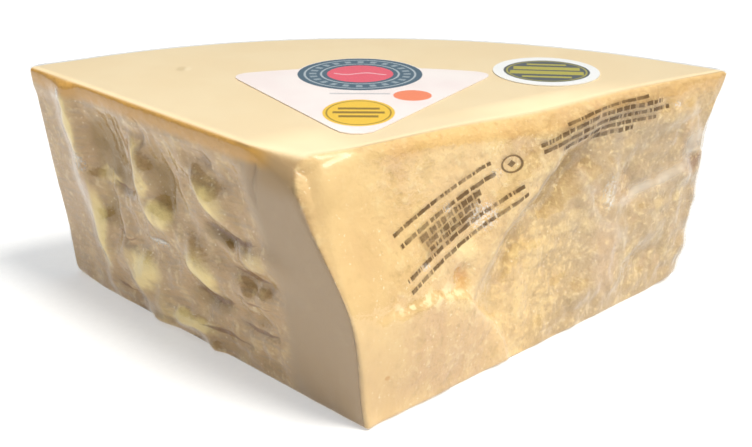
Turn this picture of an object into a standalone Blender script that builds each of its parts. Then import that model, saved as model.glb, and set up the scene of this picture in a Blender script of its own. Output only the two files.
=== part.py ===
"""A quarter sector of a split wheel of hard, aged grating cheese in tight clear film, with a printed label.

Metres, +Z up. The origin is on the base, under the middle of the sector. The corner that was the
centre of the wheel points to -Y, the rind's arc is on the +Y side, and +X runs along the longest extent.
"""

import math

import bmesh
import bpy
from mathutils import Vector, noise

# The wheel, split flat in two, and the sector cut from its upper half.
HEIGHT = 0.1037
WHEEL_CENTRE = Vector((0.0, -0.111))
TOP_RADIUS = 0.2215
FOOT_RADIUS = 0.2185

# The sector's three corners in plan, at the top and at the base: cut by wire, so they don't quite agree.
FRONT_TOP, FRONT_FOOT = Vector((-0.0290, -0.1045)), Vector((-0.0035, -0.1101))
LEFT_TOP, LEFT_FOOT = Vector((-0.1630, 0.0455)), Vector((-0.1490, 0.0520))
RIGHT_TOP, RIGHT_FOOT = Vector((0.1635, 0.0425)), Vector((0.1503, 0.0527))

# Rounding of the edges, as the film draws over them.
CUT_EDGE = 0.0036
WORN_EDGE = 0.0095
SHOULDER = 0.0055
TIP_EDGE = 0.0028
FRONT_SHOULDER = 0.0180
FRONT_EDGE = 0.0105
FRONT_FOOT_EDGE = 0.0022
FOOT_EDGE = 0.0015
RIM_FOOT = 0.0050
FRONT_REACH = 0.034
RIM_REACH = 0.030

# Where along the right face's top edge, from the front corner, it is worn most and has sunk most.
WORN_MIDDLE, WORN_REACH = 0.135, 0.062
DIP_MIDDLE, DIP_REACH = 0.128, 0.036

# The cut faces as they leave the wire: a belly low on the front corner, its height, its reach up and down
# and along the right face, and dents in the left and right corners, each its depth, height and reach.
BELLY, BELLY_HEIGHT, BELLY_REACH, BELLY_SPREAD = 0.0098, 0.044, 0.029, 0.062
LEFT_DENTS = ((0.0015, 0.029, 0.013),)
RIGHT_DENTS = ((0.0054, 0.079, 0.014), (0.0022, 0.058, 0.020))
DENT_LENGTH = 0.034
EDGE_DIP = 0.0030

# The printed label, a rounded triangle with a disc across its back edge, and the round sticker.
SKIN_GAP = 0.0003
SKIN = 0.0004
LABEL_APEX = Vector((-0.0076, -0.0772))
LABEL_HALF_ANGLE = math.radians(29.3)
LABEL_BACK_RADIUS = 0.1525
LABEL_CORNER = 0.009
EMBLEM_CENTRE, EMBLEM_HALF = Vector((-0.0074, 0.0292)), Vector((0.0284, 0.0306))
STICKER_CENTRE, STICKER_HALF = Vector((0.0767, 0.0364)), Vector((0.0240, 0.0272))

# Spacing of the surface's rows, away from the edges.
STEP = 0.0068

# Lumps and hollows that the knife and the grain left on the two cut faces. Each is the distance along the
# face from the front corner, the height, the two half-lengths, a tilt in degrees and how far it stands
# out, all else in millimetres.
LEFT_RELIEF = (
    (169, 80, 8, 24, 0, 4.8),
    (163, 33, 7, 24, -3, 3.6),
    (146, 75, 17, 17, 0, -5.0),
    (157, 47, 9, 8, 0, -2.8),
    (119, 74, 5, 13, 8, 4.6),
    (104, 70, 9, 15, 0, -3.2),
    (112, 54, 15, 9, 12, 5.0),
    (134, 21, 21, 13, 15, 4.2),
    (67, 73, 12, 7.5, 12, 5.8),
    (71, 59, 14, 4, -5, -1.8),
    (90, 38, 11, 8, 5, 5.6),
    (90, 25, 13, 4, 3, -1.8),
    (57, 45, 15, 4, 4, -1.8),
    (50, 54, 13, 6, -8, 2.4),
    (62, 26, 14, 4, 0, -1.8),
    (58, 36, 14, 5, 0, 2.4),
    (105, 8, 22, 5, 0, 2.8),
    (127, 1, 7, 4, 0, 3.4),
    (88, 1, 6, 3, 0, 2.6),
)
RIGHT_RELIEF = (
    (108, 68, 36, 13, 37, 3.0),
    (144, 74, 26, 8, 34, -5.6),
    (103, 49, 21, 7, 42, -4.4),
    (68, 45, 6, 5, 30, -3.0),
    (42, 20, 36, 15, 0, 2.6),
    (88, 27, 9, 12, 25, -3.0),
    (128, 40, 26, 15, 20, -2.0),
    (150, 15, 18, 9, 0, 1.8),
    (169, 30, 10, 21, 5, 2.0),
    (188, 60, 20, 14, 10, -2.6),
    (203, 40, 16, 9, -6, 2.2),
    (202, 19, 12, 7, 20, -2.8),
    (222, 58, 10, 5, 0, 2.6),
    (200, 90, 20, 8, 6, 2.0),
)


def smooth(t):
    t = min(1.0, max(0.0, t))
    return t * t * (3.0 - 2.0 * t)


def near(distance, reach):
    """1 at a distance of nothing, falling to 0 at reach."""
    return 1.0 - smooth(distance / reach)


def bell(x):
    return math.exp(-x * x)


def mix(a, b, t):
    return a + (b - a) * t


def relief(table, s, z):
    """How far the lumps of a face stand out at s along it and height z, in metres."""
    total = 0.0
    for s0, z0, half_s, half_z, tilt, out in table:
        c, n = math.cos(math.radians(tilt)), math.sin(math.radians(tilt))
        ds, dz = s * 1000.0 - s0, z * 1000.0 - z0
        total += out * bell((ds * c + dz * n) / half_s) * bell((dz * c - ds * n) / half_z)
    return total / 1000.0


def corners(z):
    """The front, left and right corner in plan at height z."""
    w = z / HEIGHT
    front = FRONT_TOP * w + FRONT_FOOT * (1.0 - w)
    left = LEFT_TOP * w + LEFT_FOOT * (1.0 - w)
    right = RIGHT_TOP * w + RIGHT_FOOT * (1.0 - w)
    front += (front - left).normalized() * BELLY * bell((z - BELLY_HEIGHT) / BELLY_REACH)
    return front, left, right


def rim_radius(z):
    return mix(FOOT_RADIUS, TOP_RADIUS, z / HEIGHT)


def on_rim(angle, z):
    return WHEEL_CENTRE + Vector((math.cos(angle), math.sin(angle))) * rim_radius(z)


def rim_angle(point):
    d = point - WHEEL_CENTRE
    return math.atan2(d.y, d.x)


def plan_point(u, v, z):
    """A point of the sector in plan: u runs off the left face, v off the right face, both to the rim."""
    front, left, right = corners(z)
    a, d = rim_angle(left), rim_angle(right)
    middle = (a + d) / 2.0
    left_side = mix(front, on_rim(a, z), v)
    right_side = mix(front, on_rim(d, z), u)
    far_right, far_left = on_rim(mix(d, middle, v), z), on_rim(mix(a, middle, u), z)
    flat = (
        front * (1 - u) * (1 - v)
        + on_rim(d, z) * u * (1 - v)
        + on_rim(a, z) * (1 - u) * v
        + on_rim(middle, z) * u * v
    )
    return left_side * (1 - u) + far_right * u + right_side * (1 - v) + far_left * v - flat


def outward(a, b):
    """The plan normal to the right of the line from a to b."""
    d = (b - a).normalized()
    return Vector((d.y, -d.x))


def surface(u, v, w):
    """The place of a point of the unit cube's surface on the cheese."""
    z = w * HEIGHT
    point = plan_point(u, v, z)
    front, left, right = corners(z)
    out_left, out_right = outward(left, front), outward(front, right)
    radial = (point - WHEEL_CENTRE).normalized()
    to_left = max(0.0, (front - point).dot(out_left))
    to_right = max(0.0, (front - point).dot(out_right))
    to_rim = max(0.0, rim_radius(z) - (point - WHEEL_CENTRE).length)
    to_front = (point - front).length
    s_left, s_right = v * (LEFT_TOP - FRONT_TOP).length, u * (RIGHT_TOP - FRONT_TOP).length

    # How deep each face's rounding goes here.
    high = smooth((w - 0.45) / 0.5)
    worn = bell((s_right - WORN_MIDDLE) / WORN_REACH) * near(to_right, RIM_REACH)
    front_zone, rim_zone = near(to_front, FRONT_REACH), near(to_rim, RIM_REACH)
    left_r = mix(mix(FOOT_EDGE, CUT_EDGE, high), mix(FRONT_FOOT_EDGE, FRONT_SHOULDER, high), front_zone)
    left_r = mix(left_r, mix(RIM_FOOT, TIP_EDGE, w), rim_zone)
    right_r = mix(FOOT_EDGE, mix(CUT_EDGE, WORN_EDGE, worn), high)
    right_r = mix(right_r, mix(FRONT_FOOT_EDGE, FRONT_EDGE, high), front_zone)
    right_r = mix(right_r, mix(RIM_FOOT, TIP_EDGE, w), rim_zone)
    tip_zone = near(min(to_left, to_right), RIM_REACH)
    rim_r = mix(RIM_FOOT, mix(SHOULDER, TIP_EDGE, tip_zone), w)
    top_r = mix(mix(CUT_EDGE, WORN_EDGE, worn), FRONT_SHOULDER, front_zone)
    top_r = mix(top_r, mix(SHOULDER, TIP_EDGE, tip_zone), rim_zone)
    foot_r = mix(FOOT_EDGE, RIM_FOOT, near(to_rim, 0.026))

    faces = (
        (Vector((out_left.x, out_left.y, 0)), to_left, left_r),
        (Vector((out_right.x, out_right.y, 0)), to_right, right_r),
        (Vector((radial.x, radial.y, 0)), to_rim, rim_r),
        (Vector((0, 0, 1)), HEIGHT - z, top_r),
        (Vector((0, 0, -1)), z, foot_r),
    )
    shares = [max(0.0, 1.0 - distance / radius) for _, distance, radius in faces]
    total = math.sqrt(sum(share * share for share in shares))
    place = Vector((point.x, point.y, z))
    for (normal, _, radius), share in zip(faces, shares):
        place += normal * radius * (share / total - share)
    e_left, e_right, e_rim, e_top, e_foot = (share / total for share in shares)

    # The belly stays near the front corner, and the worn top edge of the right face sinks a little.
    belly = BELLY * bell((z - BELLY_HEIGHT) / BELLY_REACH)
    localised = belly * (bell(s_right / BELLY_SPREAD) - (1.0 - u)) * near(to_right, 0.02)
    place += faces[1][0] * localised * e_right
    for corner, dents in ((left, LEFT_DENTS), (right, RIGHT_DENTS)):
        dent = sum(depth * bell((z - height) / reach) for depth, height, reach in dents)
        inward = (front - corner).normalized() * dent * near((point - corner).length, DENT_LENGTH)
        place += Vector((inward.x, inward.y, 0))
    sunk = bell((s_right - DIP_MIDDLE) / DIP_REACH) * near(to_right, 0.020) * smooth((w - 0.55) / 0.45)
    place.z -= EDGE_DIP * sunk

    # The faces' relief, a coarse grain on the right face, and a slight unevenness of the rind.
    grain_zone = smooth((s_right - 0.075) / 0.05) * near(to_right, 0.012)
    grain = noise.noise(Vector((s_right * 62.0, z * 85.0, 3.7))) * 0.0017 * grain_zone
    wave = noise.noise(Vector((place.x * 21.0, place.y * 21.0, z * 30.0))) * 0.0009
    place += faces[0][0] * relief(LEFT_RELIEF, s_left, z) * e_left**2
    place += faces[1][0] * (relief(RIGHT_RELIEF, s_right, z) + grain) * e_right**2
    place += faces[2][0] * wave * e_rim**2
    place.z = min(HEIGHT, max(0.0, place.z))
    return place


def knots(length, start, end):
    """Places from 0 to 1 along a side, closer together across the rounding at each end."""
    rise = [start * t for t in (0.0, 0.30, 0.62, 1.0)]
    fall = [length - end * t for t in (1.0, 0.62, 0.30, 0.0)]
    count = round((fall[0] - rise[-1]) / STEP)
    between = [mix(rise[-1], fall[0], i / count) for i in range(1, count)]
    return [d / length for d in rise + between + fall]


def material(name, colour, roughness, coat=0.0):
    mat = bpy.data.materials.new(name)
    mat.use_nodes = True
    shader = mat.node_tree.nodes["Principled BSDF"]
    shader.inputs["Base Color"].default_value = (*colour, 1.0)
    shader.inputs["Roughness"].default_value = roughness
    shader.inputs["Metallic"].default_value = 0.0
    shader.inputs["Coat Weight"].default_value = coat
    mat.diffuse_color = (*colour, 1.0)
    return mat


def add(name, mesh, collection, mat):
    obj = bpy.data.objects.new(name, mesh)
    obj.data.materials.append(mat)
    collection.objects.link(obj)
    return obj


def make_wedge(collection):
    """The cheese in its film, one solid: a cube cut into rows and drawn over the sector."""
    rows = (
        knots((RIGHT_TOP - FRONT_TOP).length, 0.0045, 0.0060),
        knots((LEFT_TOP - FRONT_TOP).length, 0.0045, 0.0060),
        knots(HEIGHT, 0.0035, 0.0095),
    )
    bm = bmesh.new()
    bmesh.ops.create_cube(bm, size=1.0)
    bmesh.ops.translate(bm, verts=bm.verts, vec=(0.5, 0.5, 0.5))
    for axis, places in enumerate(rows):
        along = [e for e in bm.edges if abs(e.verts[0].co[axis] - e.verts[1].co[axis]) > 0.5]
        bmesh.ops.subdivide_edges(bm, edges=along, cuts=len(places) - 2, use_grid_fill=True)
    for vert in bm.verts:
        u, v, w = (places[round(vert.co[i] * (len(places) - 1))] for i, places in enumerate(rows))
        vert.co = surface(u, v, w)
    for level in (0.0, HEIGHT):
        flat = [f for f in bm.faces if all(abs(v.co.z - level) < 1e-7 for v in f.verts)]
        bmesh.ops.dissolve_faces(bm, faces=flat, use_verts=False)
    bmesh.ops.triangulate(bm, faces=bm.faces, quad_method="SHORT_EDGE", ngon_method="BEAUTY")
    bmesh.ops.recalc_face_normals(bm, faces=bm.faces)
    mesh = bpy.data.meshes.new("wedge")
    bm.to_mesh(mesh)
    bm.free()
    mesh.shade_smooth()
    return add("wedge", mesh, collection, material("cheese_in_film", (0.80, 0.62, 0.32), 0.28, 0.6))


def in_label(x, y):
    """Whether a place is on the label: its triangle with rounded corners, or the disc across its back."""
    if math.hypot((x - EMBLEM_CENTRE.x) / EMBLEM_HALF.x, (y - EMBLEM_CENTRE.y) / EMBLEM_HALF.y) < 1.0:
        return True
    c, s = math.cos(LABEL_HALF_ANGLE), math.sin(LABEL_HALF_ANGLE)
    off_side = abs(x - LABEL_APEX.x) * c - (y - LABEL_APEX.y) * s
    off_back = math.hypot(x - WHEEL_CENTRE.x, y - WHEEL_CENTRE.y) - LABEL_BACK_RADIUS
    a, b = off_side + LABEL_CORNER, off_back + LABEL_CORNER
    if a > 0.0 and b > 0.0:
        return math.hypot(a, b) < LABEL_CORNER
    along = (y - LABEL_APEX.y) * c + abs(x - LABEL_APEX.x) * s
    if along < LABEL_CORNER / math.tan(LABEL_HALF_ANGLE):
        low = LABEL_APEX.y + LABEL_CORNER / s
        return math.hypot(x - LABEL_APEX.x, y - low) < LABEL_CORNER
    return max(off_side, off_back) < 0.0


def make_label(collection):
    """A thin printed plate: a flat outline found by going out from the disc's front edge at each angle."""
    middle = Vector((EMBLEM_CENTRE.x, EMBLEM_CENTRE.y - 0.020))
    curve = bpy.data.curves.new("label", "CURVE")
    curve.dimensions = "2D"
    curve.fill_mode = "BOTH"
    curve.extrude = SKIN / 2.0
    count = 108
    spline = curve.splines.new("POLY")
    spline.points.add(count - 1)
    spline.use_cyclic_u = True
    for i, point in enumerate(spline.points):
        angle = 2.0 * math.pi * (i + 0.5) / count - math.pi / 2.0
        ray = Vector((math.cos(angle), math.sin(angle)))
        inner, outer = 0.0, 0.15
        for _ in range(30):
            half = (inner + outer) / 2.0
            spot = middle + ray * half
            inner, outer = (half, outer) if in_label(spot.x, spot.y) else (inner, half)
        spot = middle + ray * inner
        point.co = (spot.x, spot.y, 0.0, 1.0)
    label = add("label", curve, collection, material("label_print", (0.90, 0.80, 0.78), 0.45, 0.3))
    label.location.z = HEIGHT + SKIN_GAP + SKIN / 2.0
    return label


def make_sticker(collection):
    """A roundish paper sticker behind the right face."""
    bm = bmesh.new()
    bmesh.ops.create_cone(
        bm, cap_ends=True, segments=72, radius1=STICKER_HALF.x, radius2=STICKER_HALF.x, depth=SKIN
    )
    bmesh.ops.scale(bm, vec=(1.0, STICKER_HALF.y / STICKER_HALF.x, 1.0), verts=bm.verts)
    mesh = bpy.data.meshes.new("sticker")
    bm.to_mesh(mesh)
    bm.free()
    sticker = add("sticker", mesh, collection, material("sticker_print", (0.92, 0.92, 0.90), 0.4, 0.3))
    sticker.location = (STICKER_CENTRE.x, STICKER_CENTRE.y, HEIGHT + SKIN_GAP + SKIN / 2.0)
    return sticker


for old in list(bpy.data.objects):
    bpy.data.objects.remove(old)
block = bpy.data.collections.new("hard_cheese_sector")
bpy.context.scene.collection.children.link(block)
make_wedge(block)
make_label(block)
make_sticker(block)
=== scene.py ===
import math

import bmesh
import bpy
import numpy as np
from mathutils import Matrix, noise


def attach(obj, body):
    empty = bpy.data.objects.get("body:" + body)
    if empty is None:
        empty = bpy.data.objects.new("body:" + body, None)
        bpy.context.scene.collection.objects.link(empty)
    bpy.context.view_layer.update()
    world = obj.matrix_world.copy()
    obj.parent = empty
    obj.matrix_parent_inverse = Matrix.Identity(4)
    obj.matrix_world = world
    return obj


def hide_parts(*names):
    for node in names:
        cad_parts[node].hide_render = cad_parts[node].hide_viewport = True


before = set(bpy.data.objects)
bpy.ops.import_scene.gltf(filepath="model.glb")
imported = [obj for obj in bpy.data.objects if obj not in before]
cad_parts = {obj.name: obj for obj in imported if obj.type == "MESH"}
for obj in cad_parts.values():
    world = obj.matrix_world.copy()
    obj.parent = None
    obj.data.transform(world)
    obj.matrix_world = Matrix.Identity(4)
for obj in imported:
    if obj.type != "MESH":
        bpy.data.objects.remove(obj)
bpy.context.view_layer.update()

# The cheese. An eighth of a wheel: a quarter of its round, split flat at half its height. Its two sides were
# broken along the grain rather than cut, so they are uneven. Hard, aged and straw coloured, with the darker
# rind as a thin fringe under the top.
HEIGHT = 0.1037
WHEEL_CENTRE = np.array((0.0, -0.111))
TOP_RADIUS, FOOT_RADIUS = 0.2215, 0.2185
FRONT_TOP, FRONT_FOOT = np.array((-0.0290, -0.1045)), np.array((-0.0035, -0.1101))
LEFT_TOP, LEFT_FOOT = np.array((-0.1630, 0.0455)), np.array((-0.1490, 0.0520))
RIGHT_TOP, RIGHT_FOOT = np.array((0.1635, 0.0425)), np.array((0.1503, 0.0527))
# How far each edge is rounded, and how far along the faces each kind of rounding reaches.
CUT_EDGE, WORN_EDGE, SHOULDER, TIP_EDGE = 0.0036, 0.0095, 0.0055, 0.0028
FRONT_SHOULDER, FRONT_EDGE, FRONT_FOOT_EDGE = 0.0180, 0.0105, 0.0022
FOOT_EDGE, RIM_FOOT = 0.0015, 0.0050
FRONT_REACH, RIM_REACH, RIM_FOOT_REACH = 0.034, 0.030, 0.026
WORN_MIDDLE, WORN_REACH, WORN_DEPTH = 0.135, 0.062, 0.030
# The belly of the front edge, how far it spreads along the right face, and how deep.
BELLY, BELLY_HEIGHT, BELLY_REACH, BELLY_SPREAD, BELLY_DEPTH = 0.0098, 0.044, 0.029, 0.062, 0.020
# Dents of the two rear edges: depth, height, reach.
LEFT_DENTS = ((0.0015, 0.029, 0.013),)
RIGHT_DENTS = ((0.0054, 0.079, 0.014), (0.0022, 0.058, 0.020))
DENT_LENGTH = 0.034
# The worn dip in the top edge of the right face.
EDGE_DIP, DIP_MIDDLE, DIP_REACH, DIP_DEPTH = 0.0030, 0.128, 0.036, 0.020
# Rows of the skin: the run of each side, and how much of each end its rounding takes.
RIGHT_RUN, LEFT_RUN = 0.2426, 0.2011
FRONT_ROUNDING, REAR_ROUNDING, FOOT_ROUNDING, TOP_ROUNDING = 0.0045, 0.0060, 0.0035, 0.0060
CHEESE_STEP = 0.00128
# How far the cheese lies inside the film, how far its top stands up again, and the seed of the faces' noise.
CHEESE_INSET, CHEESE_TOP = 0.0005, 0.0002
RELIEF_SEED = 3.7
# Lumps: distance from the front corner, height, two half-lengths, tilt in degrees, how far out; in mm.
LEFT_LUMPS = (
    (169, 80, 8, 24, 0, 4.8), (163, 33, 7, 24, -3, 3.6), (146, 75, 17, 17, 0, -5.0),
    (157, 47, 9, 8, 0, -2.8), (119, 74, 5, 13, 8, 4.6), (104, 70, 9, 15, 0, -3.2),
    (112, 54, 15, 9, 12, 5.0), (134, 21, 21, 13, 15, 4.2), (67, 73, 12, 7.5, 12, 5.8),
    (71, 59, 14, 4, -5, -1.8), (90, 38, 11, 8, 5, 5.6), (90, 25, 13, 4, 3, -1.8),
    (57, 45, 15, 4, 4, -1.8), (50, 54, 13, 6, -8, 2.4), (62, 26, 14, 4, 0, -1.8),
    (58, 36, 14, 5, 0, 2.4), (105, 8, 22, 5, 0, 2.8), (127, 1, 7, 4, 0, 3.4), (88, 1, 6, 3, 0, 2.6),
)
RIGHT_LUMPS = (
    (108, 68, 36, 13, 37, 3.0), (144, 74, 26, 8, 34, -5.6), (103, 49, 21, 7, 42, -4.4),
    (68, 45, 6, 5, 30, -3.0), (42, 20, 36, 15, 0, 2.6), (88, 27, 9, 12, 25, -3.0),
    (128, 40, 26, 15, 20, -2.0), (150, 15, 18, 9, 0, 1.8), (169, 30, 10, 21, 5, 2.0),
    (188, 60, 20, 14, 10, -2.6), (203, 40, 16, 9, -6, 2.2), (202, 19, 12, 7, 20, -2.8),
    (222, 58, 10, 5, 0, 2.6), (200, 90, 20, 8, 6, 2.0),
)
# Crevices that the film spans: a line of places on the face, half-width and depth, in mm.
LEFT_CREVICES = (
    (((82, 63), (76, 60), (68, 58), (58, 59), (50, 61)), 1.6, 1.9),
    (((101, 30), (95, 27), (88, 25), (80, 26), (74, 28)), 1.6, 1.9),
    (((74, 47), (66, 45), (56, 45), (48, 43), (44, 45)), 1.3, 1.3),
    (((71, 34), (62, 32), (53, 32), (48, 33)), 1.3, 1.2),
    (((72, 21), (62, 20), (52, 20), (46, 21)), 1.3, 1.5),
    (((97, 10), (85, 12), (73, 10), (62, 10)), 1.4, 1.3),
    (((113, 97), (113, 90), (117, 83)), 1.6, 2.4),
    (((66, 98), (67, 92), (63, 87)), 1.5, 1.8),
    (((27, 100), (31, 94), (36, 88), (37, 78)), 1.4, 1.8),
    (((150, 62), (140, 58), (128, 60)), 1.6, 2.0),
    (((152, 41), (146, 34), (137, 33)), 1.6, 2.2),
    (((160, 12), (150, 7), (140, 6)), 1.6, 1.8),
)
# Lines on the right face: the ledge below the print, and the upper edge of the bulge at the foot.
RIGHT_LEDGE = ((70, 30), (77, 36), (80, 41), (91, 50), (102, 59), (114, 67), (128, 76), (141, 84), (158, 90))
BULGE_EDGE = ((2, 46), (20, 43), (42, 43), (59, 41), (72, 35), (80, 28), (90, 18), (94, 2))


def smooth(t):
    t = np.clip(t, 0.0, 1.0)
    return t * t * (3.0 - 2.0 * t)


def near(distance, reach):
    return 1.0 - smooth(distance / reach)


def bell(x):
    return np.exp(-x * x)


def mix(a, b, t):
    return a + (b - a) * t


def column(values):
    return values[:, None]


def lumps(table, s, z):
    """How far a face's lumps stand out, in metres, at s along it and height z in mm."""
    total = np.zeros_like(s)
    for s0, z0, half_s, half_z, tilt, out in table:
        c, n = math.cos(math.radians(tilt)), math.sin(math.radians(tilt))
        across = bell(((s - s0) * c + (z - z0) * n) / half_s)
        total += out * across * bell(((z - z0) * c - (s - s0) * n) / half_z)
    return total / 1000.0


def off_line(line, s, z):
    """Distance to a line of places in mm, positive on its right, and how far along the line, 0 to 1."""
    best, side, along = np.full_like(s, 1e9), np.ones_like(s), np.zeros_like(s)
    for i, ((s0, z0), (s1, z1)) in enumerate(zip(line, line[1:])):
        ds, dz = s1 - s0, z1 - z0
        t = np.clip(((s - s0) * ds + (z - z0) * dz) / (ds * ds + dz * dz), 0.0, 1.0)
        gap = np.hypot(s - s0 - t * ds, z - z0 - t * dz)
        closer = gap < best
        best = np.where(closer, gap, best)
        side = np.where(closer, np.sign((s - s0) * dz - (z - z0) * ds), side)
        along = np.where(closer, (i + t) / (len(line) - 1), along)
    return best * side, along


def crevices(table, s, z):
    total = np.zeros_like(s)
    for line, half, depth in table:
        gap, along = off_line(line, s, z)
        total -= depth * bell(gap / half) * smooth(4.0 * np.minimum(along, 1.0 - along) + 0.25)
    return total / 1000.0


def grain(points, scale, seed):
    """Smooth noise from -1 to 1 at points in metres, with scale as its lumps per metre."""
    return np.array([noise.noise((x * scale + seed, y * scale, t * scale)) for x, y, t in points])


def on_face(s, z):
    """Places for the noise on a cut face, in metres, from s along it and z up it in mm."""
    return np.column_stack((s, z, z * 0)) / 1000


def rim_radius(z):
    return mix(FOOT_RADIUS, TOP_RADIUS, z / HEIGHT)


def on_rim(angle, z):
    return WHEEL_CENTRE + np.stack((np.cos(angle), np.sin(angle)), 1) * column(rim_radius(z))


def rim_angle(points):
    return np.arctan2(points[:, 1] - WHEEL_CENTRE[1], points[:, 0] - WHEEL_CENTRE[0])


def unit(vectors):
    return vectors / column(np.linalg.norm(vectors, axis=1))


def sector(u, v, w):
    """Draws a unit cube's surface over the sector. Gives the places, each face's outward direction and its
    share of each place, where each lies on the cut faces (along the left, along the right, and height, in
    mm), and how far it is from the right face."""
    z, wc = w * HEIGHT, column(w)
    front, left, right = (mix(foot, top, wc) for foot, top in (
        (FRONT_FOOT, FRONT_TOP), (LEFT_FOOT, LEFT_TOP), (RIGHT_FOOT, RIGHT_TOP)))
    belly = BELLY * bell((z - BELLY_HEIGHT) / BELLY_REACH)
    front = front + unit(front - left) * column(belly)
    a, d = rim_angle(left), rim_angle(right)
    middle, uc, vc = (a + d) / 2.0, column(u), column(v)
    point = (
        mix(front, on_rim(a, z), vc) * (1 - uc) + on_rim(mix(d, middle, v), z) * uc
        + mix(front, on_rim(d, z), uc) * (1 - vc) + on_rim(mix(a, middle, u), z) * vc
        - front * (1 - uc) * (1 - vc) - on_rim(d, z) * uc * (1 - vc)
        - on_rim(a, z) * (1 - uc) * vc - on_rim(middle, z) * uc * vc
    )
    along_left, along_right = unit(front - left), unit(right - front)
    out_left = np.stack((along_left[:, 1], -along_left[:, 0]), 1)
    out_right = np.stack((along_right[:, 1], -along_right[:, 0]), 1)
    radial = unit(point - WHEEL_CENTRE)
    to_left = np.maximum(0.0, ((front - point) * out_left).sum(1))
    to_right = np.maximum(0.0, ((front - point) * out_right).sum(1))
    to_rim = np.maximum(0.0, rim_radius(z) - np.linalg.norm(point - WHEEL_CENTRE, axis=1))
    s_left, s_right = v * np.linalg.norm(LEFT_TOP - FRONT_TOP), u * np.linalg.norm(RIGHT_TOP - FRONT_TOP)

    high = smooth((w - 0.45) / 0.5)
    worn = bell((s_right - WORN_MIDDLE) / WORN_REACH) * near(to_right, WORN_DEPTH)
    front_zone = near(np.linalg.norm(point - front, axis=1), FRONT_REACH)
    rim_zone, tip_zone = near(to_rim, RIM_REACH), near(np.minimum(to_left, to_right), RIM_REACH)
    left_r = mix(mix(FOOT_EDGE, CUT_EDGE, high), mix(FRONT_FOOT_EDGE, FRONT_SHOULDER, high), front_zone)
    left_r = mix(left_r, mix(RIM_FOOT, TIP_EDGE, w), rim_zone)
    right_r = mix(FOOT_EDGE, mix(CUT_EDGE, WORN_EDGE, worn), high)
    right_r = mix(right_r, mix(FRONT_FOOT_EDGE, FRONT_EDGE, high), front_zone)
    right_r = mix(right_r, mix(RIM_FOOT, TIP_EDGE, w), rim_zone)
    rim_r = mix(RIM_FOOT, mix(SHOULDER, TIP_EDGE, tip_zone), w)
    top_r = mix(mix(CUT_EDGE, WORN_EDGE, worn), FRONT_SHOULDER, front_zone)
    top_r = mix(top_r, mix(SHOULDER, TIP_EDGE, tip_zone), rim_zone)
    foot_r = mix(FOOT_EDGE, RIM_FOOT, near(to_rim, RIM_FOOT_REACH))
    flat = np.zeros_like(z)
    outs = np.stack((
        np.column_stack((out_left, flat)), np.column_stack((out_right, flat)),
        np.column_stack((radial, flat)), np.column_stack((flat, flat, flat + 1)),
        np.column_stack((flat, flat, flat - 1))), 1)
    radii = np.stack((left_r, right_r, rim_r, top_r, foot_r), 1)
    shares = np.maximum(0.0, 1.0 - np.stack((to_left, to_right, to_rim, HEIGHT - z, z), 1) / radii)
    share = shares / column(np.linalg.norm(shares, axis=1))
    place = np.column_stack((point, z)) + (outs * (radii * (share - shares))[:, :, None]).sum(1)
    spread = (bell(s_right / BELLY_SPREAD) - (1 - u)) * near(to_right, BELLY_DEPTH)
    place += outs[:, 1] * column(belly * spread * share[:, 1])
    for corner, dents in ((left, LEFT_DENTS), (right, RIGHT_DENTS)):
        dent = sum(depth * bell((z - height) / reach) for depth, height, reach in dents)
        dent = dent * near(np.linalg.norm(point - corner, axis=1), DENT_LENGTH)
        place[:, :2] += unit(front - corner) * column(dent)
    dip = bell((s_right - DIP_MIDDLE) / DIP_REACH) * near(to_right, DIP_DEPTH)
    place[:, 2] -= EDGE_DIP * dip * smooth((w - 0.55) / 0.45)
    return place, outs, share, np.column_stack((s_left, s_right, z)) * 1000.0, to_right


def knots(length, start, end, step):
    """Places from 0 to 1 along a side, closer together across the rounding at each end."""
    rise, fall = [start * t / 4 for t in range(5)], [length - end * t / 4 for t in range(4, -1, -1)]
    count = round((fall[0] - rise[-1]) / step)
    return np.array(rise + [mix(rise[-1], fall[0], i / count) for i in range(1, count)] + fall) / length


def skin(name, step, settle):
    """A closed skin over the sector: a cube cut into rows, each corner placed by settle, which also gives the
    notes that the material reads. The flat base is one face."""
    rows = (knots(RIGHT_RUN, FRONT_ROUNDING, REAR_ROUNDING, step),
            knots(LEFT_RUN, FRONT_ROUNDING, REAR_ROUNDING, step),
            knots(HEIGHT, FOOT_ROUNDING, TOP_ROUNDING, step))
    bm = bmesh.new()
    bmesh.ops.create_cube(bm, size=1.0)
    bmesh.ops.translate(bm, verts=bm.verts, vec=(0.5, 0.5, 0.5))
    for axis, places in enumerate(rows):
        along = [e for e in bm.edges if abs(e.verts[0].co[axis] - e.verts[1].co[axis]) > 0.5]
        bmesh.ops.subdivide_edges(bm, edges=along, cuts=len(places) - 2, use_grid_fill=True)
    cells = np.array([v.co for v in bm.verts])
    u, v, w = (rows[i][np.rint(cells[:, i] * (len(rows[i]) - 1)).astype(int)] for i in range(3))
    places, notes = settle(*sector(u, v, w))
    layers = {key: bm.verts.layers.float_vector.new(key) for key in notes}
    for i, vert in enumerate(bm.verts):
        vert.co = places[i]
        for key, layer in layers.items():
            vert[layer] = notes[key][i]
    base = [f for f in bm.faces if all(p.co.z < 2e-4 for p in f.verts)]
    bmesh.ops.dissolve_faces(bm, faces=base, use_verts=False)
    bmesh.ops.recalc_face_normals(bm, faces=bm.faces)
    mesh = bpy.data.meshes.new(name)
    bm.to_mesh(mesh)
    bm.free()
    mesh.shade_smooth()
    piece = bpy.data.objects.new(name, mesh)
    bpy.context.scene.collection.objects.link(piece)
    return piece


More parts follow.
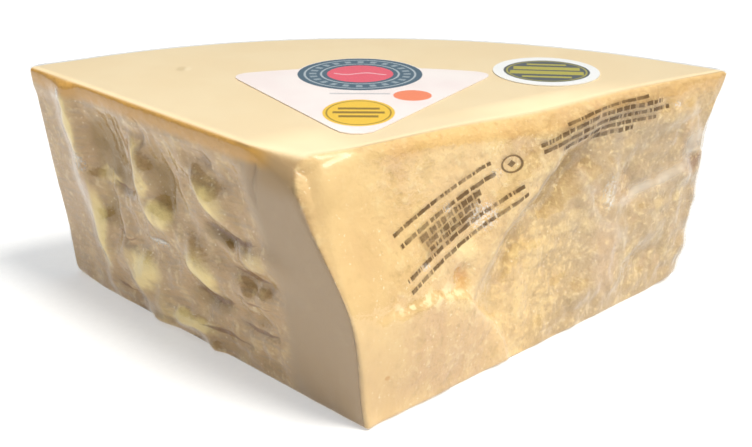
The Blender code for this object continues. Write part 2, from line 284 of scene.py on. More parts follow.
def drawn_faces(share, face):
    """Relief that film and cheese have in common, out of each cut face, in metres."""
    s_left, s_right, z = face.T
    seed = RELIEF_SEED
    # The left face: lumps, a step back behind the smooth strip at the front, and grain.
    wander = grain(on_face(s_left, z), 48.0, seed + 61) * 5.0
    left = lumps(LEFT_LUMPS, s_left + wander, z - wander * 0.6)
    left -= 0.0011 * smooth((s_left - 34) / 13) * smooth((96 - z) / 6)
    uneven = smooth((s_left - 40) / 14) * smooth((174 - s_left) / 10)
    uneven = uneven * smooth((z - 2) / 6) * smooth((97 - z) / 7)
    left += grain(on_face(s_left, z), 95.0, seed + 20) * 0.0016 * uneven
    left += grain(on_face(s_left, z * 0.35), 170.0, seed + 31) * 0.0011 * uneven
    # The right face: lumps, the ledge, the bulge at the foot, and grain.
    right = lumps(RIGHT_LUMPS, s_right, z)
    gap, along = off_line(RIGHT_LEDGE, s_right, z)
    depth = np.interp(along, (0.0, 0.25, 0.6, 0.85, 1.0), (0.2, 0.8, 1.5, 2.8, 0.5))
    right += -0.001 * depth * smooth((gap + 1.5) / 5.0) * np.exp(-np.maximum(gap, 0.0) / 16.0)
    gap, along = off_line(BULGE_EDGE, s_right, z)
    gap = gap + grain(on_face(s_right, z), 150.0, seed + 12) * 3.0
    swell = smooth((gap + 1.0) / 2.6) * np.exp(-np.maximum(gap, 0.0) / 20.0)
    right += 0.0018 * swell * smooth((s_right - 6) / 24)
    rough = smooth((s_right - 75) / 50) * smooth((z - 2) / 6)
    right += grain(on_face(s_right, z), 85.0, seed) * 0.0014 * rough
    right += grain(on_face(s_right, z), 170.0, seed + 5) * 0.0007 * rough
    # The ragged foot, the same on both where they meet.
    foot = on_face(s_left, s_right)
    left += grain(foot, 75.0, seed + 40) * 0.0016 * near(z, 16.0)
    right += grain(foot, 65.0, seed + 47) * 0.0019 * near(z, 18.0)
    return left * share[:, 0] ** 2, right * share[:, 1] ** 2


def settle_cheese(place, outs, share, face, to_right):
    s_left, s_right, z = face.T
    left, right = drawn_faces(share, face)
    cracks_left = crevices(LEFT_CREVICES, s_left, z) * share[:, 0] ** 2
    fine = np.minimum(grain(place, 330.0, 1.3) * 0.0004 + grain(place, 160.0, 9.1) * 0.0006, 0.0001)
    crumbly = share[:, 1] ** 2 * (0.12 + 0.88 * smooth((s_right - 24) / 60))
    crumbly += share[:, 0] ** 2 * (0.05 + 0.45 * smooth((s_left - 38) / 10))
    # The worn right corner: a shallow notch over a ledge, and the edge below it, both spanned by film.
    notch = smooth((z - 65.5) / 1.6) * near(z - 72, 17.0) * smooth((s_right - 217) / 18.0)
    notch = 0.0012 * notch + 0.0006 * smooth((s_right - 226) / 12.0) * near(z - 50, 25.0)
    notch = notch * near(to_right, 0.016)
    place = place - (outs[:, :3] * share[:, :3, None]).sum(1) * CHEESE_INSET
    place[:, 2] += share[:, 3] * CHEESE_TOP
    place += outs[:, 0] * column(left + cracks_left + fine * crumbly * share[:, 0])
    place += outs[:, 1] * column(right + fine * crumbly * share[:, 1])
    inward = unit(FRONT_TOP[None, :] - place[:, :2])
    place[:, :2] += inward * column(notch)
    place[:, 2] = np.maximum(place[:, 2], 0.0)
    # Painted shade along the foot of the ledge on the right face, handed to the material with the depths of
    # the hollows.
    gap, along = off_line(RIGHT_LEDGE, s_right, z)
    shade = smooth((gap + 0.5) / 2.5) * np.exp(-np.maximum(gap, 0.0) / 9.0)
    taper = smooth(4.0 * np.minimum(along, 1.0 - along))
    shade = shade * (0.25 + 0.75 * smooth((along - 0.45) / 0.3)) * taper
    hollow_and_shade = np.column_stack((-(left + cracks_left) * 1000.0, -right * 1000.0, shade * share[:, 1] ** 2))
    gap, along = off_line(BULGE_EDGE, s_right, z)
    border = bell((gap + 0.5) / 2.6) * smooth((s_right - 16.0) / 16.0) * smooth((84.0 - s_right) / 20.0)
    rise = smooth((gap + 2.0) / 10.0) * smooth((s_right - 8.0) / 28.0)
    bulge = np.column_stack((border, rise, gap * 0)) * column(share[:, 1])
    return place, {"face": face / 1000.0, "share": share[:, :3], "hollow_and_shade": hollow_and_shade, "bulge": bulge}


class Wire:
    """A value inside a material. Arithmetic on it adds Math nodes, and make adds any other node."""

    def __init__(self, tree, out=None):
        self.tree, self.out = tree, out

    def make(self, kind, sockets=(), out=0, **settings):
        node = self.tree.nodes.new(kind)
        for key, value in settings.items():
            setattr(node, key, value)
        for key, value in dict(sockets).items():
            if isinstance(value, Wire):
                self.tree.links.new(value.out, node.inputs[key])
            else:
                node.inputs[key].default_value = value
        return Wire(self.tree, node.outputs[out])

    def math(self, operation, *values, clamp=False):
        return self.make("ShaderNodeMath", dict(enumerate(values)), operation=operation, use_clamp=clamp)

    def __add__(self, other):
        return self.math("ADD", self, other)

    def __sub__(self, other):
        return self.math("SUBTRACT", self, other)

    def __rsub__(self, other):
        return self.math("SUBTRACT", other, self)

    def __mul__(self, other):
        return self.math("MULTIPLY", self, other)

    def __truediv__(self, other):
        return self.math("DIVIDE", self, other)

    def __abs__(self):
        return self.math("ABSOLUTE", self)

    __radd__, __rmul__ = __add__, __mul__

    def most(self, other):
        return self.math("MAXIMUM", self, other)

    def root(self):
        return self.math("SQRT", self)

    def whole(self):
        return self.math("FLOOR", self)

    def held(self):
        """The value kept between 0 and 1."""
        return self.math("ADD", self, 0.0, clamp=True)

    def step(self, low, high):
        """0 below low, 1 above high, smooth between; the other way round where low is the larger."""
        a, b, turned = (low, high, 0.0) if low < high else (high, low, 1.0)
        return self.make("ShaderNodeMapRange", {0: self, 1: a, 2: b, 3: turned, 4: 1.0 - turned},
                         interpolation_type="SMOOTHSTEP")

    def blend(self, a, b):
        """Colour a where this mask is 0, colour b where it is 1."""
        return self.make("ShaderNodeMix", {0: self, 6: a, 7: b}, out=2, data_type="RGBA")

    def axes(self):
        """The three parts of a vector."""
        split = self.make("ShaderNodeSeparateXYZ", {0: self})
        node = split.out.node
        return tuple(Wire(self.tree, node.outputs[i]) for i in range(3))

    def spots(self, vector, scale, detail=2.0, **more):
        """Cloudy noise, with scale as its lumps per metre."""
        return self.make("ShaderNodeTexNoise", {"Vector": vector, "Scale": scale, "Detail": detail, **more})


def tint(red, green, blue):
    """A colour seen in daylight, 0 to 255, as the shader's linear one."""
    parts = [(c / 255 / 12.92) if c <= 10 else ((c / 255 + 0.055) / 1.055) ** 2.4 for c in (red, green, blue)]
    return (*parts, 1.0)


def finish(wire, colour, roughness, normal=None, **fixed):
    """The surface shader: what changes over the surface is linked, the rest set on its own sockets."""
    shader = wire.tree.nodes.new("ShaderNodeBsdfPrincipled")
    changing = {"Base Color": colour, "Roughness": roughness, "Normal": normal}
    for key, value in changing.items():
        if isinstance(value, Wire):
            wire.tree.links.new(value.out, shader.inputs[key])
        elif value is not None:
            shader.inputs[key].default_value = value
    for key, value in fixed.items():
        shader.inputs[key.replace("_", " ")].default_value = value
    return shader


def begin(name):
    material = bpy.data.materials.new(name)
    material.use_nodes = True
    material.node_tree.nodes.clear()
    return material, Wire(material.node_tree)


def close(material, shader_out):
    output = material.node_tree.nodes.new("ShaderNodeOutputMaterial")
    material.node_tree.links.new(shader_out, output.inputs["Surface"])


def highest(masks):
    """The highest of several masks at each place."""
    top, *others = masks
    for mask in others:
        top = top.most(mask)
    return top


cheese = skin("cheese", CHEESE_STEP, settle_cheese)
material, wire = begin("aged cheese")
spot = wire.make("ShaderNodeTexCoord", out="Object")
s_left, s_right, up = wire.make("ShaderNodeAttribute", out="Vector", attribute_name="face").axes()
on_left, on_right, on_rim_side = wire.make("ShaderNodeAttribute", out="Vector", attribute_name="share").axes()
deep_left, deep_right, ledge_shade = wire.make("ShaderNodeAttribute", out="Vector", attribute_name="hollow_and_shade").axes()
border, bulge, _ = wire.make("ShaderNodeAttribute", out="Vector", attribute_name="bulge").axes()
ms, ml, mz = s_right * 1000.0, s_left * 1000.0, up * 1000.0
# Noise from broad to fine: clouds, swirls, patches, ribs that run along the faces, crumbs, grit, sand.
clouds = wire.spots(spot, 34.0, 3.0)
swirls = wire.spots(spot, 60.0, 3.0, Distortion=0.6)
patches = wire.spots(spot, 95.0, 4.0)
crumbs = wire.spots(spot, 260.0, 2.0)
grit = wire.spots(spot, 430.0, 3.0, Distortion=0.5)
sand = wire.spots(spot, 620.0, 3.0)
specks = wire.spots(spot, 760.0, 1.0).step(0.69, 0.74) * patches.step(0.40, 0.60)
ribs = wire.spots(wire.make("ShaderNodeCombineXYZ", {0: s_left * 0.25, 1: up, 2: s_right * 0.25}), 330.0, 3.0)


def patch(s, z, s0, z0, reach_s, reach_z):
    """A soft round mask on a face, 1 at its middle."""
    ds, dz = (s - s0) / reach_s, (z - z0) / reach_z
    return (ds * ds + dz * dz).step(1.0, 0.05)


def crack(s, z, s0, z0, reach, rise, half):
    """A thin curved crack that tapers to both ends, its middle at s0, z0."""
    run = (s - s0) / reach
    line = abs(z - z0 - run * run * rise) / half
    return (line + run * run).step(1.0, 0.35)


# The paste: straw on the right face; darker and tanner towards its rear end, partly painted shade; and darker
# and browner on the left face, partly painted shade for the face turned from the light.
paste = clouds.step(0.35, 0.68).blend(tint(230, 197, 139), tint(220, 185, 130))
tan_end_and_shade = on_right.step(0.3, 0.8) * (ms + (clouds - 0.5) * 70.0).step(88.0, 150.0)
paste = (tan_end_and_shade * 0.9).blend(paste, tint(187, 157, 110))
plain = paste
paste = (bulge * (0.35 + clouds.step(0.35, 0.6) * 0.25)).blend(paste, tint(203, 166, 122))
# Painted shade: the left face, turned from the light, is given a darker, browner paste.
left_base = on_left.step(0.3, 0.8)
paste = (left_base * 0.85).blend(paste, tint(191, 154, 107))
paste = (patches.step(0.50, 0.72) * 0.5).blend(paste, tint(233, 206, 148))
paste = (patches.step(0.46, 0.30) * 0.4).blend(paste, tint(194, 162, 102))
paste = (swirls.step(0.54, 0.70) * 0.35).blend(paste, tint(210, 171, 129))
paste = (ribs.step(0.50, 0.66) * left_base * 0.5).blend(paste, tint(176, 150, 120))
paste = (ribs.step(0.46, 0.34) * left_base * 0.35).blend(paste, tint(164, 134, 94))
paste = (crumbs.step(0.56, 0.72) * 0.45).blend(paste, tint(236, 214, 162))
paste = (crumbs.step(0.42, 0.28) * 0.4).blend(paste, tint(184, 150, 96))
# Places of their own: the calm front, the golden corner, the slab; painted shade: olive brown in the hollows,
# below the ledge, in the notch and down the rear end of the right face.
calm = (ms + (clouds - 0.5) * 30.0).step(44.0, 14.0) * on_right.step(0.2, 0.7)
paste = (calm * 0.75).blend(paste, plain)
corner_gold = patch(ms, mz, 224.0, 96.0, 34.0, 17.0) * on_right
paste = (corner_gold * 0.65).blend(paste, tint(222, 184, 116))
slab = patch(ms, mz, 169.0, 28.0, 14.0, 26.0) * on_right
paste = (slab * 0.7).blend(paste, tint(204, 171, 131))
# Painted shade in the hollows, olive brown, stronger where a hollow is deeper and over the listed hollows of
# the left face.
hollow_shade = (deep_left.step(1.2, 5.4) * 0.7 + deep_right.step(1.5, 5.0) * 0.5).held()
for s, z, reach_s, reach_z in ((146, 78, 18, 22), (105, 72, 10, 20), (156, 47, 9, 12),
                               (66, 58, 20, 6), (88, 24, 18, 6)):
    hollow_shade = hollow_shade + patch(ml, mz, s, z, reach_s, reach_z) * left_base * swirls.step(0.30, 0.62) * 0.85
paste = (hollow_shade.held() * 0.95).blend(paste, tint(158, 124, 60))
# Painted shade below the ledge.
paste = (ledge_shade * 0.75).blend(paste, tint(150, 120, 86))
# Painted shade in the notch at the worn right corner and down the rear end of the right face.
notch_shade = patch(ms, mz, 232.0, 62.0, 14.0, 5.0) * on_right
paste = (notch_shade * 0.9).blend(paste, tint(146, 104, 62))
rear_shade = patch(ms, mz, 242.0, 44.0, 13.0, 26.0) * on_right
paste = (rear_shade * 0.45).blend(paste, tint(174, 141, 96))
# Cream on the lumps of the left face, gold and grit on the right face, crumbs along the bulge's border.
cream = deep_left.step(-0.8, -3.8) * 0.3
bent_s, bent_z = ml + (swirls - 0.5) * 12.0, mz + (patches - 0.5) * 12.0
uneven = left_base * (0.35 + swirls.step(0.38, 0.55) * 0.65)
for s, z, reach_s, reach_z in ((171, 82, 7, 22), (165, 34, 7, 26), (119, 75, 5, 15), (113, 55, 10, 8),
                               (67, 73, 13, 9), (90, 37.5, 13, 9), (134, 24, 15, 12), (50, 53, 9, 5),
                               (104, 9, 20, 5), (152, 62, 9, 5)):
    cream = cream + patch(bent_s, bent_z, s, z, reach_s, reach_z) * uneven
paste = (cream.held() * 0.92).blend(paste, tint(252, 227, 156))
golden = patch(ms, mz, 112.0, 36.0, 42.0, 40.0) * on_right * crumbs.step(0.45, 0.62)
paste = (golden * 0.42).blend(paste, tint(240, 206, 138))
gritty = (on_right * ms.step(80.0, 110.0) * (1.0 - calm)).held()
paste = (grit.step(0.56, 0.68) * gritty * 0.45).blend(paste, tint(246, 220, 160))
paste = (grit.step(0.42, 0.32) * gritty * 0.45).blend(paste, tint(176, 138, 92))
paste = (specks * 0.55).blend(paste, tint(250, 236, 200))
paste = (border * crumbs.step(0.50, 0.62) * 0.75).blend(paste, tint(250, 232, 184))
paste = (border * crumbs.step(0.46, 0.34) * 0.5).blend(paste, tint(206, 160, 98))
cream_patch = patch(ms, mz, 72.0, 56.0, 9.0, 6.0) * on_right
paste = (cream_patch * 0.6).blend(paste, tint(250, 226, 164))
# Painted shade in the cracks of the left face, as dark brown lines, lying and upright: place, half-length,
# how far they curve, half-width.
lying = ((64, 58.0, 20, 4.0, 1.5), (86, 24.6, 15, 4.5, 1.5), (58, 44.0, 15, 2.0, 1.1),
         (60, 32.0, 13, 2.0, 1.0), (59, 19.5, 14, 2.0, 0.9), (82, 10.5, 18, -1.2, 1.1),
         (139, 59.0, 12, 3.0, 1.0), (145, 35.0, 9, 4.0, 1.0), (150, 8.0, 12, 3.0, 0.9))
upright = ((92.0, 113, 9, 3.0, 1.2), (94.0, 66, 7, -3.0, 1.0), (93.0, 30, 10, 4.0, 0.9))
crack_shade = highest([crack(ml, mz, *line) for line in lying] + [crack(mz, ml, *line) for line in upright])
paste = (crack_shade * left_base * 0.8).blend(paste, tint(150, 106, 62))
pit = patch(ms, mz, 68.0, 45.0, 6.5, 6.5) * crumbs.step(0.34, 0.56) + patch(ms, mz, 14.0, 19.0, 1.8, 1.2)
paste = (pit.held() * on_right * 0.75).blend(paste, tint(204, 150, 82))
# The smooth strip at the front of the left face, with painted shade that makes it darker, and the amber
# fringe of the rind under the top.
smooth_shaded_strip = (ml + (clouds - 0.5) * 6.0).step(46.0, 36.0) * left_base * (1.0 - on_right.step(0.05, 0.4))
paste = (smooth_shaded_strip * 0.9).blend(paste, tint(171, 142, 103))
fringe = (up + (clouds - 0.5) * 0.004).step(0.0945, 0.0990)
fringe = fringe * (left_base * ml.step(16.0, 28.0) * 0.95 + on_right * ms.step(30.0, 55.0) * 0.40).held()
paste = fringe.blend(paste, tint(214, 162, 80))
# The rind: pale and smooth on top with one faint mark, browner and worn on the wheel's side.
rind = (clouds.step(0.40, 0.62) * 0.5).blend(tint(246, 225, 185), tint(243, 219, 176))
x, y, _ = spot.axes()
x, y = x * 1000.0, y * 1000.0
rind = (patch(x, y, -88.5, 39.0, 3.2, 6.0) * 0.8).blend(rind, tint(224, 200, 157))
rind = (patch(x, y, -85.6, 39.0, 2.2, 5.0) * 0.6).blend(rind, tint(253, 236, 202))
worn_rind = (patches.step(0.42, 0.66) * 0.6).blend(tint(236, 206, 152), tint(226, 190, 132))
worn_rind = (sand.step(0.60, 0.72) * 0.3).blend(worn_rind, tint(206, 166, 108))
rind = (on_rim_side.step(0.25, 0.85) * 0.85).blend(rind, worn_rind)
cut = (on_left.step(0.22, 0.65) + on_right.step(0.05, 0.48)).held()
colour = cut.blend(rind, paste)
relief = (sand * 0.5 + crumbs + patches * 0.8) * (0.06 + cut * 0.94)
relief = relief * (1.0 - calm * 0.7) * (1.0 - smooth_shaded_strip * 0.85)
bump = wire.make("ShaderNodeBump", {"Strength": 0.8, "Distance": 0.0010, "Height": relief})
shader = finish(wire, colour, 0.5 + crumbs * 0.12, bump, Specular_IOR_Level=0.3)
close(material, shader.outputs[0])
cheese.data.materials.append(material)
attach(cheese, "root")
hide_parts("wedge")

# The film. A clear pouch drawn tight by vacuum: it follows the lumps, spans the crevices and the worn right
# corner, and lies in creases and pleats over the rougher right end. Its print is rows of fine dark marks.
FILM_STEP, FILM_TOP = 0.00150, 0.0008
# Pleats of the right face: a line of places, half-width and height in mm, and how milky.
PLEATS = (
    (((150, 74), (152, 66), (157, 54), (163, 46), (174, 40), (186, 30)), 3.0, 0.9, 0.16),
    (((170, 94), (171, 78), (170, 66), (168, 50)), 2.6, 1.0, 0.14),
    (((169, 53), (184, 54.5), (198, 57), (212, 60), (231, 66)), 3.4, 1.2, 0.38),
    (((168, 51), (184, 51), (200, 52), (216, 54)), 1.4, 0.5, 0.10),
    (((160, 46), (159, 30), (160, 10)), 2.0, 0.4, 0.07),
    (((181, 36), (181, 20), (179, 8)), 2.0, 0.4, 0.07),
    (((204, 87), (214, 88), (228, 88)), 2.4, 0.5, 0.14),
    (((96, 36), (84, 34), (70, 30)), 1.8, 0.5, 0.05),
    (((186, 78), (198, 74), (214, 76)), 1.8, 0.4, 0.08),
    (((130, 60), (143, 50), (152, 36)), 1.8, 0.4, 0.05),
    (((194, 48), (206, 38), (214, 24)), 1.8, 0.4, 0.06),
    (((134, 79), (116, 67), (102, 56), (90, 45), (82, 34)), 2.4, 0.8, 0.20),
)
# Upright pleats of the rim: degrees from its middle, half-width, height, and how fast they fade upwards.
RIM_PLEATS = (
    (-12, 1.8, 0.9, 12), (9, 1.1, 0.6, 8), (31, 2.4, 1.0, 15), (-34, 1.6, 0.7, 10), (-24, 1.0, 0.5, 6),
)


def settle_film(place, outs, share, face, to_right):
    s_left, s_right, z = face.T
    left, right = drawn_faces(share, face)
    fold, haze = np.zeros_like(z), np.zeros_like(z)
    for line, half, out, milk in PLEATS:
        gap, along = off_line(line, s_right, z)
        width = half * (0.7 + 0.8 * along)
        here = bell(gap / width) * smooth(6.0 * np.minimum(along, 1.0 - along) + 0.2)
        fold, haze = fold + out * here, np.maximum(haze, milk * here)
    ripple = grain(on_face(s_right, z * 0.4), 210.0, 5.0) * 0.0003
    span = 0.40 * smooth((s_right - 218) / 8.0) * smooth((z - 65.5) / 2.0) * near(z - 72, 17.0)
    span = np.maximum(span, 0.30 * smooth((s_right - 232) / 6.0) * near(z - 44, 34.0))
    haze = np.maximum(haze * share[:, 1] ** 2, span * near(to_right, 0.012))
    turn = np.degrees(rim_angle(place[:, :2])) - 90.0
    back = np.zeros_like(z)
    for where, half, out, fade in RIM_PLEATS:
        off = turn - where - np.sin(z / 14.0 + where) * 0.5
        here = bell(off / (half * 0.45)) * smooth((104.0 - z) / (4.0 * fade))
        back, haze = back + out * here, np.maximum(haze, 0.16 * here * share[:, 2])
    place = place + outs[:, 2] * column(back / 1000 * share[:, 2] ** 2)
    place = place + outs[:, 0] * column(left)
    place = place + outs[:, 1] * column(right + (fold / 1000 + ripple) * share[:, 1] ** 2)
    place[:, 2] = np.maximum(place[:, 2] + share[:, 3] * FILM_TOP, 0.0)
    return place, {"face": face / 1000.0, "share": share[:, :3],
                   "haze": np.column_stack((haze, haze * 0, haze * 0))}


film = skin("film", FILM_STEP, settle_film)
material, wire = begin("clear film")
spot = wire.make("ShaderNodeTexCoord", out="Object")
s_left, s_right, up = wire.make("ShaderNodeAttribute", out="Vector", attribute_name="face").axes()
on_left, on_right, _ = wire.make("ShaderNodeAttribute", out="Vector", attribute_name="share").axes()
milk, _, _ = wire.make("ShaderNodeAttribute", out="Vector", attribute_name="haze").axes()
ms, ml, mz = s_right * 1000.0, s_left * 1000.0, up * 1000.0
crinkle = wire.spots(spot, 130.0, 4.0)
stretch = wire.spots(spot, 520.0, 2.0)
glitter = wire.spots(spot, 420.0, 3.0, Distortion=1.2)
cut = (on_left.step(0.4, 0.9) + on_right.step(0.4, 0.9)).held()
front = 1.0 - up.step(0.084, 0.094) * s_left.step(0.030, 0.016) * s_right.step(0.030, 0.016) * 0.85
front = front * (1.0 - on_left * s_left.step(0.044, 0.034) * 0.8)
relief = (crinkle + stretch * 0.12) * (0.04 + cut * 0.96 * front)
bump = wire.make("ShaderNodeBump", {"Strength": 0.35, "Distance": 0.0012, "Height": relief})


def chance_of(number, rank):
    """A number from 0 to 1 for each numbered place in a row of print."""
    place = number.make("ShaderNodeCombineXYZ", {0: number, 1: rank})
    return number.make("ShaderNodeTexWhiteNoise", {"Vector": place}, noise_dimensions="3D")


def print_rows(along, across, rows):
    """Lines of print, listed from the top as start, end, level and half-height: dark marks of uneven length
    and height with short gaps, in no alphabet."""
    group_run, mark_run = 8.6, 0.95
    rank = sum(across.math("LESS_THAN", across, (above[2] + below[2]) / 2.0)
               for above, below in zip(rows, rows[1:]))
    group = (along + rank * 3.7) / group_run
    number = group.whole()
    length = chance_of(number, rank) * 0.12 + 0.86
    chance = chance_of((along / mark_run).whole(), rank + 0.5)
    low_marks, tall_marks = [], []
    for start, end, level, half in rows:
        off, half_run = abs(across - level) / half, (end - start) / 2.0
        reach = abs(along - (start + end) / 2.0).step(half_run + 0.3, half_run - 0.3)
        low_marks.append(off.step(1.25, 0.85) * reach)
        tall_marks.append((off - chance * 0.5).step(0.75, 0.45) * reach)
    marks = highest(tall_marks) * chance.step(0.10, 0.22) * 0.6 + 0.4
    return highest(low_marks) * marks * (length - (group - number)).step(-0.03, 0.03)


# The first block of print, on a slant, with a wash of ink over its middle lines.
slant = math.radians(17.3)
along = ms * math.cos(slant) + (mz - 1.6) * math.sin(slant)
across = (mz - 1.6) * math.cos(slant) - ms * math.sin(slant)
lines = print_rows(along, across, (
    (53, 114, 55.0, 0.8), (53.5, 114.5, 49.8, 0.9), (64, 104, 46.6, 1.4), (66, 102, 43.6, 1.2),
    (67, 98, 41.0, 1.0), (48.5, 126, 38.2, 0.9), (47.5, 127, 33.8, 0.85)))
wash = along.step(63.0, 66.0) * along.step(103.0, 99.0) * abs(across - 43.5).step(5.5, 4.0) * 0.36
first_block = lines.most(wash)
# The second block, which bends down towards the front, with a fainter wash.
bend = (172.0 - ms).most(0.0) / 51.0
arch = mz + bend * bend * 5.3
lines = print_rows(ms, arch, (
    (138, 189, 100.3, 0.95), (121, 197, 97.1, 1.0), (122, 201, 93.9, 0.95), (134, 192, 90.8, 0.9),
    (156, 179, 87.9, 1.1)))
wash = abs(arch - 95.6).step(5.4, 3.4) * ms.step(126.0, 138.0) * ms.step(197.0, 190.0)
second_block = lines.most(wash * (0.14 + crinkle.step(0.4, 0.7) * 0.16))
# The ring between them, with a diamond in its middle.
ring_s, ring_z = (ms - 104.3) / 6.4, (mz - 86.0) / 4.2
ring = abs((ring_s * ring_s + ring_z * ring_z).root() - 0.88).step(0.13, 0.06)
diamond = (abs(ring_z) + abs(ring_s)).step(0.46, 0.34)
ring = ring.most(diamond) * 0.85
worn_print = (first_block + second_block) * (0.60 + crinkle.step(0.34, 0.6) * 0.40)
ink = ((worn_print + ring) * on_right.step(0.12, 0.3)).held()
# Clear film with a mirror sheen at a slant, calmer over the front shoulder.
facing = wire.make("ShaderNodeLayerWeight", {"Blend": 0.5, "Normal": bump}, out="Facing")
shoulder = up.step(0.084, 0.094) * s_left.step(0.040, 0.020) * s_right.step(0.050, 0.020)
sheen = (facing.math("POWER", facing, 5.0) * 0.9 + 0.055) * (1.0 - shoulder * 0.80)
clear = wire.make("ShaderNodeBsdfTransparent")
gloss = finish(wire, (1.0, 1.0, 1.0, 1.0), 0.10 + shoulder * 0.08, bump, Metallic=1.0)
body = wire.make("ShaderNodeMixShader", {0: sheen.held(), 1: clear, 2: Wire(wire.tree, gloss.outputs[0])})
milk_and_glint_white = finish(wire, crinkle.step(0.3, 0.7).blend(tint(222, 214, 200), tint(240, 235, 224)), 0.25, bump)
# Milky where it is folded or spans a gap; painted glints and highlights on the creases, in the same milky
# white.
glint_patches = sum(patch(ms, mz, *place) * weight for weight, *place in (
    (1.0, 84, 67, 11.0, 8.0), (0.5, 95, 83, 5.0, 3.0), (1.0, 206, 94, 3.0, 2.0),
    (0.8, 168, 59, 5.0, 10.0), (1.0, 66, 74, 3.0, 2.5), (1.0, 47, 55, 3.5, 2.5)))
glint_patches = glint_patches + sum(patch(ml, mz, *place) for place in (
    (119, 41.5, 9.0, 2.5), (168, 66, 5.0, 6.0), (172, 95, 3.0, 5.0)))
glints = glint_patches * abs(glitter - 0.5).step(0.06, 0.015) * cut
# Painted highlights at listed places on both faces.
left_gleams = sum(patch(ml, mz, *place) for place in (
    (172, 97, 1.5, 3.4), (171, 71, 1.9, 4.0), (119, 41.8, 7.0, 1.1)))
right_gleams = sum(patch(ms, mz, *place) for place in (
    (166.5, 65, 0.7, 1.2), (168.5, 54.7, 0.7, 1.4), (66, 73.5, 1.6, 1.2), (47, 55.5, 1.8, 1.2)))
gleams = left_gleams * on_left + right_gleams * on_right
glints = (glints + gleams * glitter.step(0.42, 0.55) * 0.9).held()
haze_and_glints = (milk * (0.65 + crinkle * 0.7) + glints * 0.9 + on_right * ms.step(110.0, 160.0) * 0.07).held()
body = wire.make("ShaderNodeMixShader", {0: haze_and_glints, 1: body, 2: Wire(wire.tree, milk_and_glint_white.outputs[0])})
inked = finish(wire, crinkle.step(0.3, 0.7).blend(tint(70, 50, 26), tint(104, 78, 46)), 0.45, bump,
               Specular_IOR_Level=0.2)
body = wire.make("ShaderNodeMixShader", {0: ink * 0.92, 1: body, 2: Wire(wire.tree, inked.outputs[0])})
close(material, body.out)
film.data.materials.append(material)
film.visible_shadow = False  # clear film shades nothing that shows
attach(film, "root")
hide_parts("wedge")

# The label. A thin, pale triangle of printed film with its point to the front, laid on the middle of the rind
# under the clear film. A slate disc across its back edge, an orange dot and a yellow badge are printed flat.
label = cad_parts["label"]
material, wire = begin("printed label")
spot = wire.make("ShaderNodeTexCoord", out="Object")
x, y, _ = spot.axes()
x, y = x * 1000.0, y * 1000.0


def round_off(x, y, cx, cy, rx, ry):
    """Distance past an oval's edge, in mm."""
    dx, dy = (x - cx) / rx, (y - cy) / ry
    return ((dx * dx + dy * dy).root() - 1.0) * min(rx, ry)


def box_off(x, y, cx, cy, half_x, half_y):
    """Distance past a box's edge, in mm."""
    return (abs(x - cx) - half_x).most(abs(y - cy) - half_y)


def inside(off, soft=0.25):
    """A mask that is 1 inside an edge."""
    return off.step(soft, -soft)


fibre = wire.spots(spot, 900.0, 2.0)
haze = wire.spots(spot, 60.0, 2.0)
colour = haze.step(0.3, 0.7).blend(tint(253, 240, 237), tint(255, 246, 242))
disc_x, disc_y = -7.4, 29.2
badge_x, badge_y = -7.1, -37.0
disc = round_off(x, y, disc_x, disc_y, 27.9, 30.1)
colour = inside(disc).blend(colour, tint(86, 110, 126))
ring = inside(abs(disc + 3.2) - 0.45) + inside(abs(disc + 10.5) - 0.45)
colour = (ring.held() * 0.7).blend(colour, tint(214, 222, 226))
centre = round_off(x, y, -7.3, disc_y, 14.8, 16.0)
colour = inside(centre).blend(colour, tint(238, 106, 122))
tick_count = 24
turn = wire.math("ARCTAN2", y - disc_y, x - disc_x) * (tick_count / math.tau)
ticks = abs(turn.math("FRACT", turn + 0.5) - 0.5).step(0.26, 0.20) * inside(abs(disc + 6.8) - 1.6)
colour = (ticks * 0.55).blend(colour, tint(196, 208, 214))
wave = inside(abs(y - disc_y + x.math("SINE", x * 0.35) * 1.6) - 0.8) * inside(centre + 3.0)
colour = wave.blend(colour, tint(248, 190, 196))
colour = (inside(box_off(x, y, -7.0, -6.6, 12.8, 1.2)) * 0.55).blend(colour, tint(176, 180, 186))
colour = inside(round_off(x, y, 15.2, -9.2, 8.1, 8.9)).blend(colour, tint(251, 148, 108))
badge = round_off(x, y, badge_x, badge_y, 14.6, 20.5)
colour = inside(badge).blend(colour, tint(248, 206, 72))
colour = (inside(abs(badge + 1.6) - 0.35) * 0.7).blend(colour, tint(120, 96, 44))
bars = sum(inside(box_off(x, y, badge_x, badge_y + shift, half, 1.6)) for shift, half in (
    (6.0, 8.5), (0.0, 10.5), (-6.0, 8.0)))
colour = (bars.held() * 0.8).blend(colour, tint(120, 96, 44))
bump = wire.make("ShaderNodeBump", {"Strength": 0.15, "Distance": 0.0003, "Height": fibre * 0.3 + haze})
shader = finish(wire, colour, 0.42 + haze * 0.1, bump, Specular_IOR_Level=0.3)
close(material, shader.outputs[0])
label.data.materials.clear()
label.data.materials.append(material)

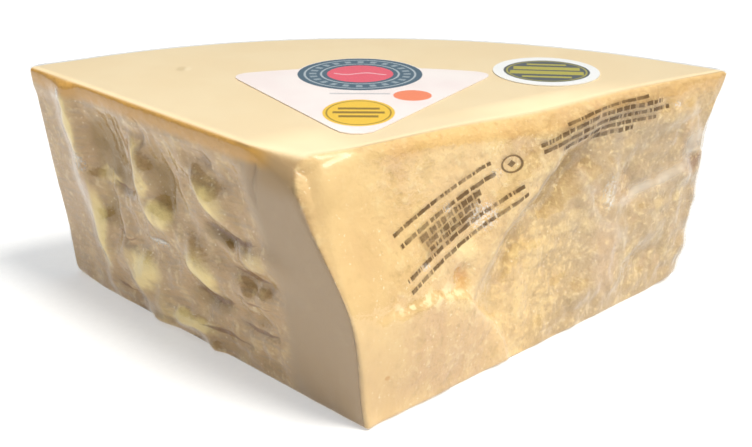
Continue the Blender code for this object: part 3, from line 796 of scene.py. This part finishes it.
# The sticker. Round, satin paper with a white rim and a dark middle that bears plain yellow bars, stuck on
# the rind behind the right face.
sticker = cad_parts["sticker"]
material, wire = begin("round sticker")
spot = wire.make("ShaderNodeTexCoord", out="Object")
x, y, _ = spot.axes()
x, y = x * 1000.0, y * 1000.0
fibre = wire.spots(spot, 700.0, 2.0)
sticker_x, sticker_y, lean = 76.9, 36.2, math.radians(-6)
edge = round_off(x, y, sticker_x, sticker_y, 19.4, 20.8)
colour = fibre.step(0.3, 0.7).blend(tint(254, 254, 252), tint(255, 255, 255))
colour = inside(edge).blend(colour, tint(98, 103, 104))
across = (y - sticker_y) * math.cos(lean) - (x - sticker_x) * math.sin(lean)
along = (x - sticker_x) * math.cos(lean) + (y - sticker_y) * math.sin(lean)
bars = sum(inside(box_off(along, across, 0.0, level, half, thick)) for level, half, thick in (
    (5.0, 15.0, 3.0), (-3.2, 16.5, 3.2), (12.4, 9.0, 1.4), (-11.2, 11.0, 1.5)))
colour = (bars.held() * 0.9).blend(colour, tint(200, 190, 84))
colour = (inside(abs(edge + 1.5) - 0.4) * 0.8).blend(colour, tint(200, 190, 84))
bump = wire.make("ShaderNodeBump", {"Strength": 0.2, "Distance": 0.0002, "Height": fibre})
shader = finish(wire, colour, 0.38 + fibre * 0.08, bump, Specular_IOR_Level=0.4)
close(material, shader.outputs[0])
sticker.data.materials.clear()
sticker.data.materials.append(material)

# The set. A plain white sheet under the piece, a large soft lamp high on the right as the key, a wide one
# overhead, a small one for the glints on the film, white all round, and the camera low in front of the cut
# corner.
FLOOR_HALF, FLOOR_LEVEL = 6.0, -0.0002
bm = bmesh.new()
bmesh.ops.create_grid(bm, x_segments=1, y_segments=1, size=FLOOR_HALF)
bmesh.ops.translate(bm, verts=bm.verts, vec=(0.0, 0.0, FLOOR_LEVEL))
mesh = bpy.data.meshes.new("floor")
bm.to_mesh(mesh)
bm.free()
floor = bpy.data.objects.new("floor", mesh)
bpy.context.scene.collection.objects.link(floor)
material, wire = begin("white sheet")
spot = wire.make("ShaderNodeTexCoord", out="Object")
weave = wire.spots(spot, 300.0, 2.0)
white = weave.step(0.2, 0.8).blend((0.60, 0.60, 0.60, 1.0), (0.62, 0.62, 0.62, 1.0))
shader = finish(wire, white, 0.9, Specular_IOR_Level=0.0, Emission_Color=(1.0, 1.0, 1.0, 1.0),
                Emission_Strength=0.38)
close(material, shader.outputs[0])
floor.data.materials.append(material)


def sun(name, way, spread, strength, colour):
    """A far lamp that shines from the direction way, its disc spread degrees across."""
    light = bpy.data.lights.new(name, "SUN")
    light.angle, light.energy, light.color = math.radians(spread), strength, colour
    holder = bpy.data.objects.new(name, light)
    bpy.context.scene.collection.objects.link(holder)
    holder.location = np.array(way) * 2.0
    holder.rotation_euler = (math.atan2(math.hypot(way[0], way[1]), way[2]), 0.0, math.atan2(way[0], -way[1]))


sun("key", (0.40, -0.27, 0.876), 20.0, 3.28, (1.0, 0.97, 0.91))
sun("overhead", (-0.05, 0.10, 0.99), 60.0, 1.15, (0.93, 0.97, 1.0))
sun("glint", (-0.22, -0.62, 0.75), 4.0, 0.15, (1.0, 0.98, 0.95))
world = bpy.data.worlds.new("white room")
bpy.context.scene.world = world
world.use_nodes = True
background = world.node_tree.nodes["Background"]
background.inputs["Color"].default_value = (0.80, 0.90, 1.0, 1.0)
background.inputs["Strength"].default_value = 0.12
CAMERA_DROP, CAMERA_ROLL = 19.72, 0.28
camera = bpy.data.objects.new("camera", bpy.data.cameras.new("camera"))
bpy.context.scene.collection.objects.link(camera)
camera.data.sensor_width = 36.0
camera.data.lens = 65.84
camera.data.clip_start = 0.01
camera.location = (0.0001, -0.5724, 0.2489)
aim = Matrix.Rotation(math.radians(90.0 - CAMERA_DROP), 4, "X")
camera.rotation_euler = (aim @ Matrix.Rotation(math.radians(CAMERA_ROLL), 4, "Z")).to_euler()
bpy.context.scene.camera = camera
bpy.context.scene.view_settings.view_transform = "Standard"
